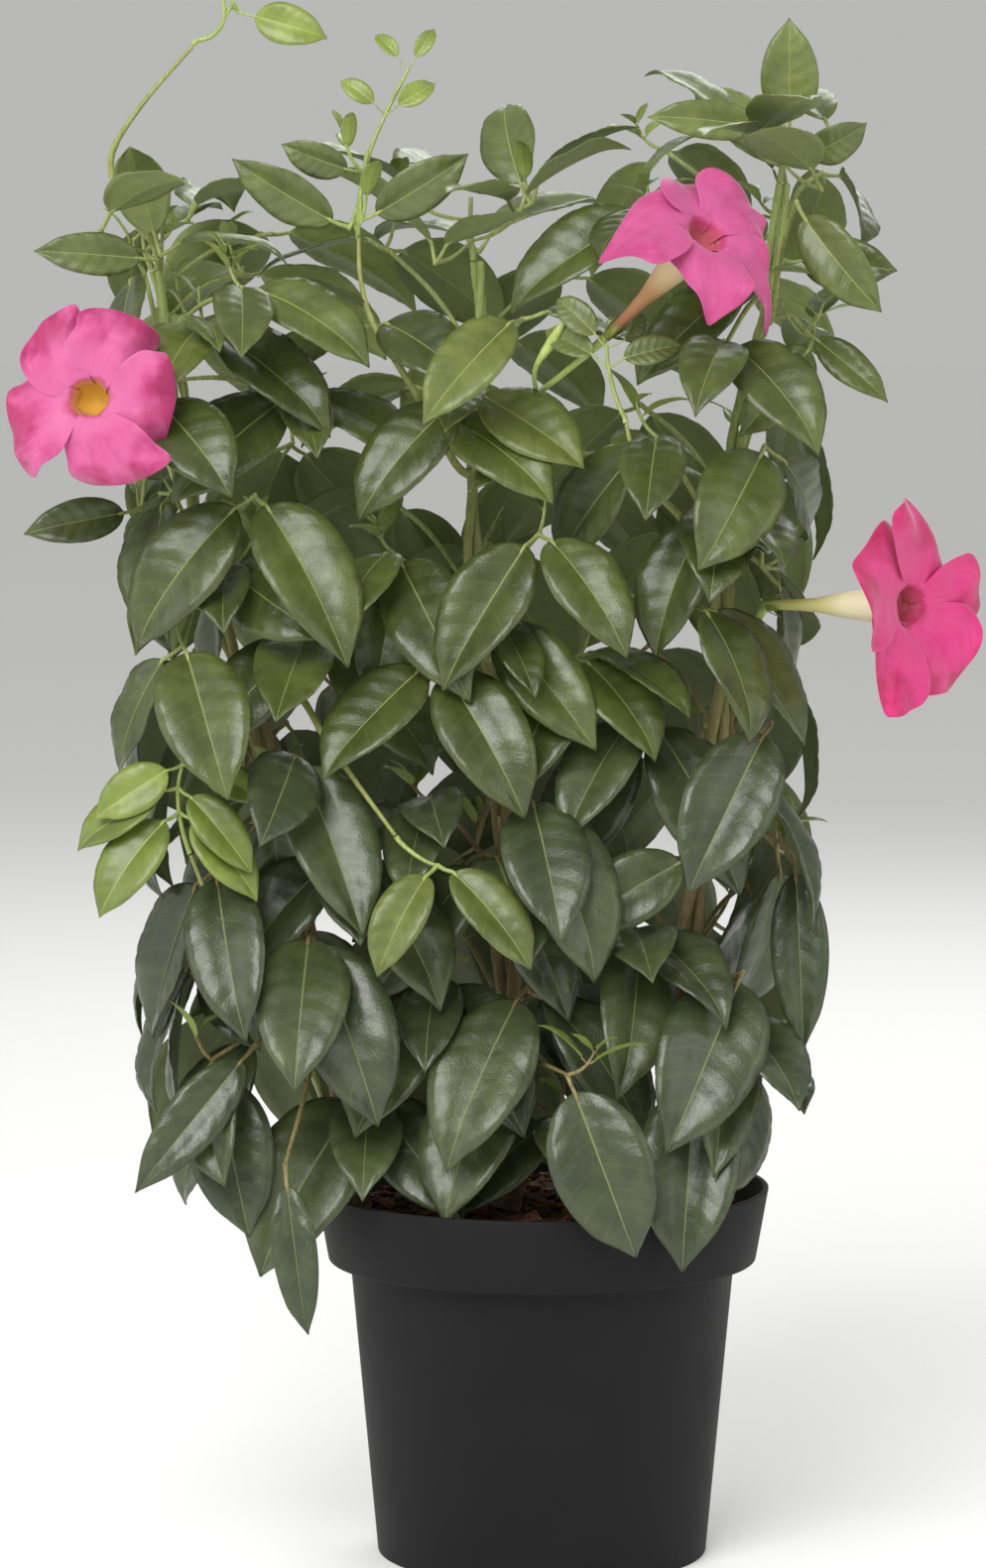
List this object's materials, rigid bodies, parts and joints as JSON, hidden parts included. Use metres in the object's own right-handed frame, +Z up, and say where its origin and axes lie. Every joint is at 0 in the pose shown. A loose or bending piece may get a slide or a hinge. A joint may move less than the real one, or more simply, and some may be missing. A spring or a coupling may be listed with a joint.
{
  "type": "potted mandevilla",
  "caption": "Flowering patio climber: twining stems with large glossy oval leaves and pink trumpet flowers, in a round growers' pot with a deep rim.",
  "frame": {"origin": "centre of the pot's flat underside", "axes": "+Z up, -Y towards the front of the plant, +X to the right of someone who faces its front"},
  "size_m": [0.395, 0.2182, 0.6769],
  "materials": {
    "pot_plastic": "black moulded plastic with a faint sheen",
    "potting_mix": "loose brown bark mix, matte",
    "woody_stem": "young brown bark",
    "green_stem": "smooth green shoot",
    "old_leaf": "deep green, waxy and glossy",
    "full_leaf": "mid green, glossy",
    "fresh_leaf": "lighter yellowish green, satin",
    "young_leaf": "young yellow-green, satin",
    "petal": "soft pink petals with a satin sheen"
  },
  "bodies": {
    "root": {"pot": "pot_plastic", "potting_mix": "potting_mix", "stem_left_a": "woody_stem", "stem_left_b": "woody_stem", "stem_middle_a": "woody_stem", "stem_middle_b": "woody_stem", "stem_right_a": "woody_stem", "stem_right_b": "woody_stem", "bough_vine": "green_stem", "bough_thin": "green_stem", "bough_young": "green_stem", "bough_slant": "green_stem", "bough_fresh": "green_stem", "flower_left": "petal", "flower_upper": "petal", "flower_right": "petal", "leaves_vine": "young_leaf", "leaves_thin": "young_leaf", "leaves_young": "young_leaf", "leaves_slant": "full_leaf", "leaves_fresh": "young_leaf", "leaves_left_top": "fresh_leaf", "leaves_middle_top": "fresh_leaf", "leaves_right_top": "fresh_leaf", "leaves_left_high_front": "fresh_leaf", "leaves_middle_high_front": "fresh_leaf", "leaves_right_high_front": "fresh_leaf", "leaves_left_mid_front": "full_leaf", "leaves_middle_mid_front": "full_leaf", "leaves_right_mid_front": "full_leaf", "leaves_left_low_front": "old_leaf", "leaves_middle_low_front": "old_leaf", "leaves_right_low_front": "old_leaf", "leaves_left_foot_front": "old_leaf", "leaves_middle_foot_front": "old_leaf", "leaves_right_foot_front": "old_leaf", "leaves_left_high_back": "fresh_leaf", "leaves_middle_high_back": "fresh_leaf", "leaves_right_high_back": "fresh_leaf", "leaves_left_mid_back": "full_leaf", "leaves_middle_mid_back": "full_leaf", "leaves_right_mid_back": "full_leaf", "leaves_left_low_back": "old_leaf", "leaves_middle_low_back": "old_leaf", "leaves_right_low_back": "old_leaf", "leaves_left_foot_back": "old_leaf", "leaves_middle_foot_back": "old_leaf", "leaves_right_foot_back": "old_leaf"}
  },
  "joints": []
}
